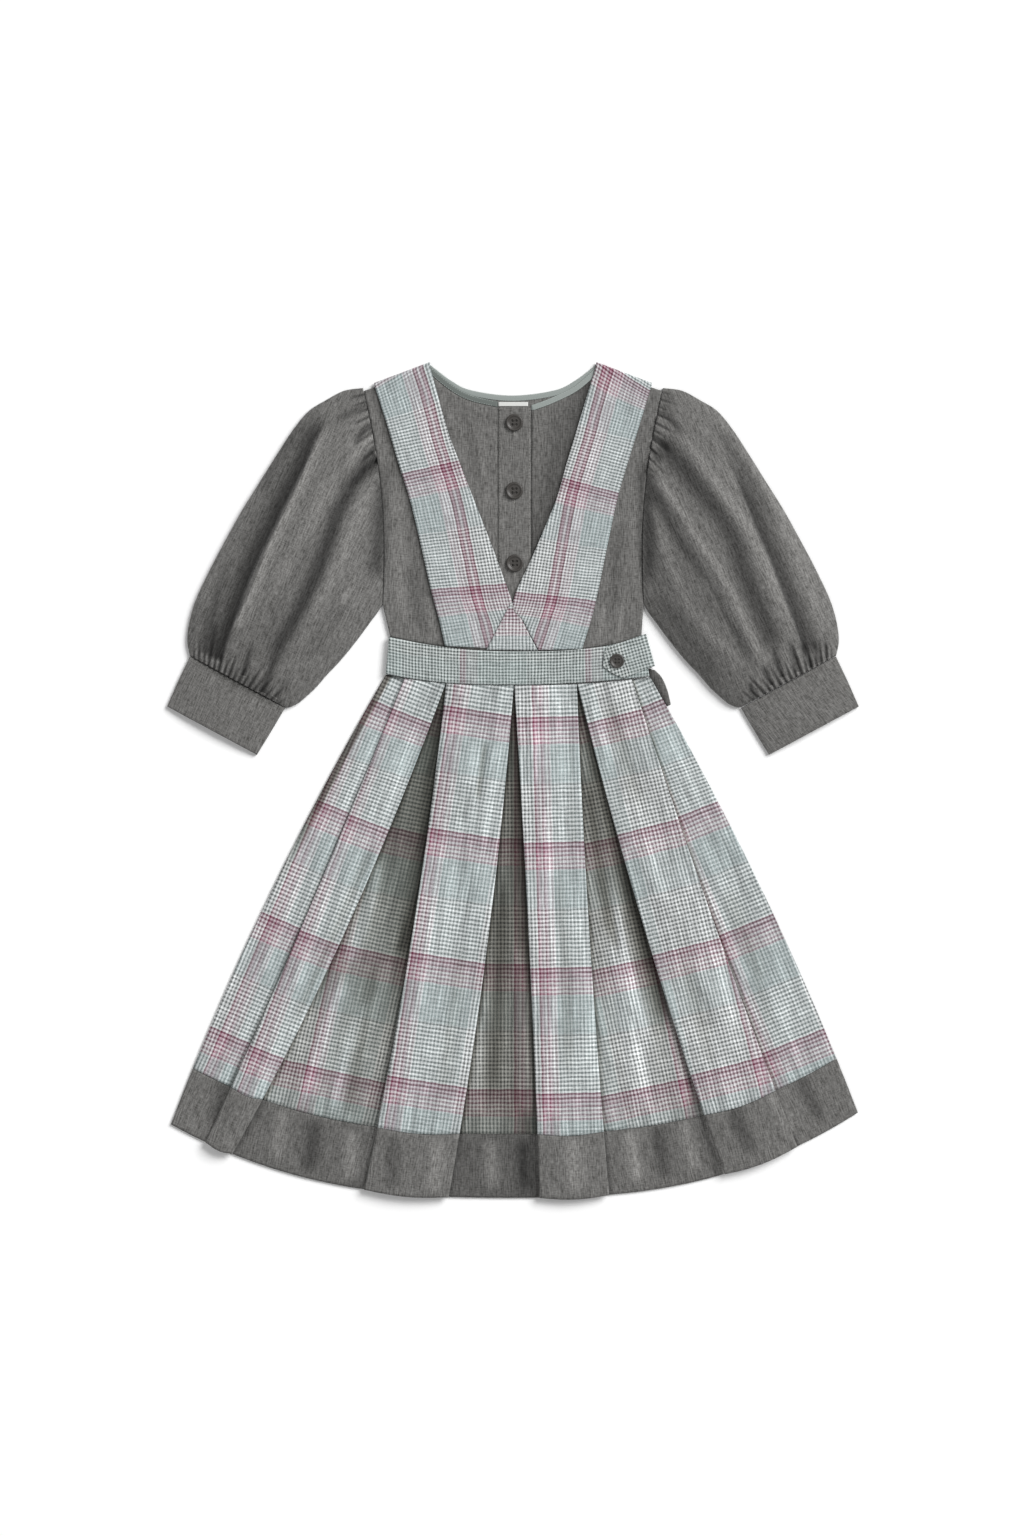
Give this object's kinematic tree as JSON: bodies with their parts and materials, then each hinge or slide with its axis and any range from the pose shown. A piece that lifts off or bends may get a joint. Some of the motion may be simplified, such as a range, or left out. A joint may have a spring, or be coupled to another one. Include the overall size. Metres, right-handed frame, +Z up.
{
  "type": "pinafore dress",
  "caption": "Child's pinafore dress laid flat: grey puff-sleeved bodice with a buttoned placket, crossed plaid straps, waistband and pleated plaid skirt with a grey hem band.",
  "frame": {"origin": "on the surface the dress lies on, under the middle of its outline", "axes": "+Y from the hem towards the neck, +X to the viewer's right as seen from above, +Z up off the surface"},
  "size_m": [0.622, 0.7528, 0.0266],
  "materials": {
    "grey_cloth": "warm grey slubbed cotton and linen, matt",
    "plaid_cloth": "small sage, white and grey check under a wine window-pane, matt cotton",
    "binding": "narrow sage grey bias binding",
    "label_tape": "plain white woven tape",
    "button": "dark charcoal four-hole button with a soft shine"
  },
  "bodies": {
    "root": {"bodice_front_left": "grey_cloth", "bodice_front_right": "grey_cloth", "placket": "grey_cloth", "bodice_back": "grey_cloth", "neck_binding_front_left": "binding", "neck_binding_front_right": "binding", "neck_binding_back": "binding", "neck_label": "label_tape", "sleeve_left": "grey_cloth", "sleeve_right": "grey_cloth", "cuff_left": "grey_cloth", "cuff_right": "grey_cloth", "strap_left": "plaid_cloth", "strap_right": "plaid_cloth", "strap_gusset": "plaid_cloth", "waistband_front": "plaid_cloth", "waistband_back": "plaid_cloth", "waist_tab": "plaid_cloth", "side_placket": "grey_cloth", "skirt_front": "plaid_cloth", "skirt_back": "plaid_cloth", "hem_band_front": "grey_cloth", "hem_band_back": "grey_cloth", "button_1": "button", "button_2": "button", "button_3": "button", "tab_button": "button"}
  },
  "joints": []
}
